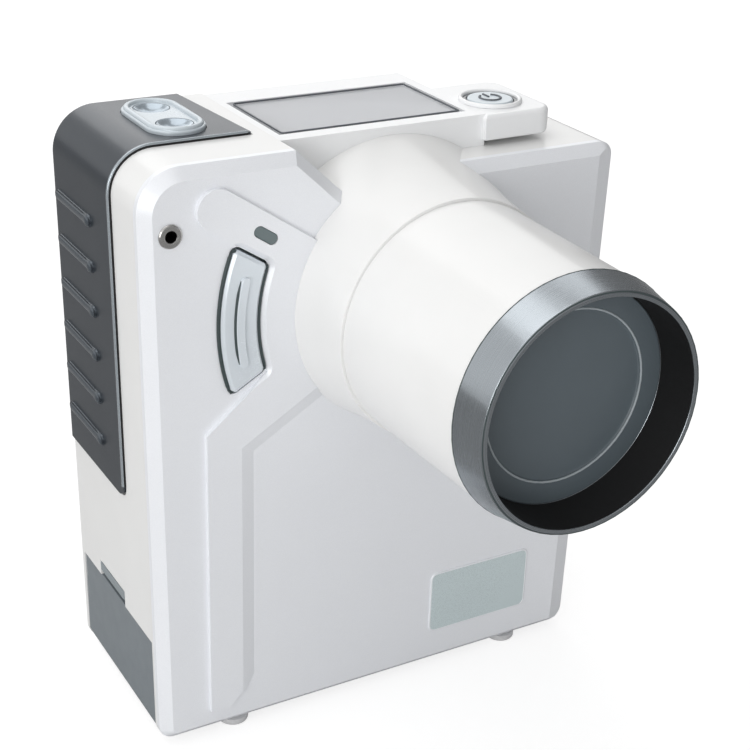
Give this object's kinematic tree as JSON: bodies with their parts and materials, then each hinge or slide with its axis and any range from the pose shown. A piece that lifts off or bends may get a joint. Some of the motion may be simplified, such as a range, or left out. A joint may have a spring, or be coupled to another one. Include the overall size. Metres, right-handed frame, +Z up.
{
  "type": "portable dental x-ray unit",
  "caption": "Hand-held dental x-ray unit with a forward beam cone, a curved side trigger, a dark shoulder grip with thumb keys, a display pod and a hinged battery door.",
  "frame": {"origin": "centre of the footprint box, on the surface that the feet stand on", "axes": "-Y along the beam cone towards the patient, +Z up, +X towards the shelf side with the power button"},
  "size_m": [0.163, 0.1624, 0.1946],
  "materials": {
    "shell_white": "semi gloss",
    "panel_silver": "satin",
    "name_plate": "satin",
    "grip_dark": "matt",
    "foot_rubber": "matt",
    "thumb_key": "semi gloss",
    "trigger_grey": "semi gloss",
    "bezel_dark": "satin",
    "liner_black": "matt",
    "window_slate": "semi gloss",
    "ring_metal": "satin",
    "screen_glass": "gloss",
    "display_dark": "satin",
    "light_guide": "gloss",
    "indicator_lens": "gloss",
    "lamp_clear": "gloss",
    "nickel": "satin",
    "inner_black": "matt",
    "door_grey": "satin",
    "steel": "satin",
    "brass_plated": "satin",
    "battery_wrap": "satin",
    "board_green": "satin",
    "silicone": "matt",
    "head_aluminium": "satin",
    "lead": "matt",
    "tube_glass": "gloss",
    "copper": "satin",
    "core_iron": "matt"
  },
  "bodies": {
    "housing": {"anode": "copper", "battery_bay": "inner_black", "battery_contacts": "brass_plated", "battery_pack": "battery_wrap", "beam_collimator": "head_aluminium", "beam_cone": "shell_white", "beam_filter": "head_aluminium", "board_chips": "inner_black", "board_standoffs": "brass_plated", "buzzer": "inner_black", "case_screws": "steel", "cathode": "steel", "cone_collar": "shell_white", "cone_end_ring": "ring_metal", "cone_window": "window_slate", "display_module": "display_dark", "display_pod": "shell_white", "feet": "foot_rubber", "front_panel": "panel_silver", "grip": "grip_dark", "hinge_pin": "steel", "indicator_lamp": "lamp_clear", "indicator_window": "indicator_lens", "jack_block": "inner_black", "key_board": "board_green", "key_dome_front": "silicone", "key_dome_rear": "silicone", "lead_liner": "lead", "main_board": "board_green", "main_housing": "shell_white", "name_plate": "name_plate", "power_board": "board_green", "power_dome": "silicone", "power_light_guide": "light_guide", "power_ring": "shell_white", "rear_cover": "shell_white", "remote_jack": "nickel", "ring_liner": "liner_black", "screen_glass": "screen_glass", "thumb_key_plate": "shell_white", "transformer_core": "core_iron", "transformer_winding": "copper", "trigger_bezel": "bezel_dark", "trigger_board": "board_green", "trigger_spring": "steel", "tripod_insert": "brass_plated", "tube_cradle": "silicone", "tube_head_case": "head_aluminium", "tube_head_lid": "head_aluminium", "voltage_multiplier": "board_green", "xray_tube": "tube_glass"},
    "trigger": {"exposure_trigger": "trigger_grey"},
    "front_thumb_key": {"thumb_key_front": "thumb_key"},
    "rear_thumb_key": {"thumb_key_rear": "thumb_key"},
    "power_button": {"power_button": "shell_white"},
    "door": {"battery_door": "door_grey", "latch_spring": "steel"},
    "latch": {"battery_latch": "door_grey"}
  },
  "joints": [
    {"name": "trigger_slide", "type": "slide", "parent": "housing", "child": "trigger", "axis": [0, 1, 0], "range_m": [0, 0.0018], "stiffness_N_per_m": 400, "springref_m": -0.001, "deforming": ["trigger_spring"]},
    {"name": "front_thumb_key_slide", "type": "slide", "parent": "housing", "child": "front_thumb_key", "axis": [0, 0, -1], "range_m": [0, 0.0008], "stiffness_N_per_m": 400, "springref_m": -0.0005, "deforming": ["key_dome_front"]},
    {"name": "rear_thumb_key_slide", "type": "slide", "parent": "housing", "child": "rear_thumb_key", "axis": [0, 0, -1], "range_m": [0, 0.0008], "stiffness_N_per_m": 400, "springref_m": -0.0005, "deforming": ["key_dome_rear"]},
    {"name": "power_button_slide", "type": "slide", "parent": "housing", "child": "power_button", "axis": [0, 0, -1], "range_m": [0, 0.0008], "stiffness_N_per_m": 400, "springref_m": -0.0005, "deforming": ["power_dome"]},
    {"name": "battery_door_hinge", "type": "hinge", "parent": "housing", "child": "door", "pos_m": [-0.0751, 0.0487, 0.0072], "axis": [0, -1, 0], "range_deg": [0, 90]},
    {"name": "battery_latch_slide", "type": "slide", "parent": "door", "child": "latch", "axis": [0, 0, -1], "range_m": [0, 0.002], "stiffness_N_per_m": 300, "springref_m": -0.001, "deforming": ["latch_spring"]}
  ]
}
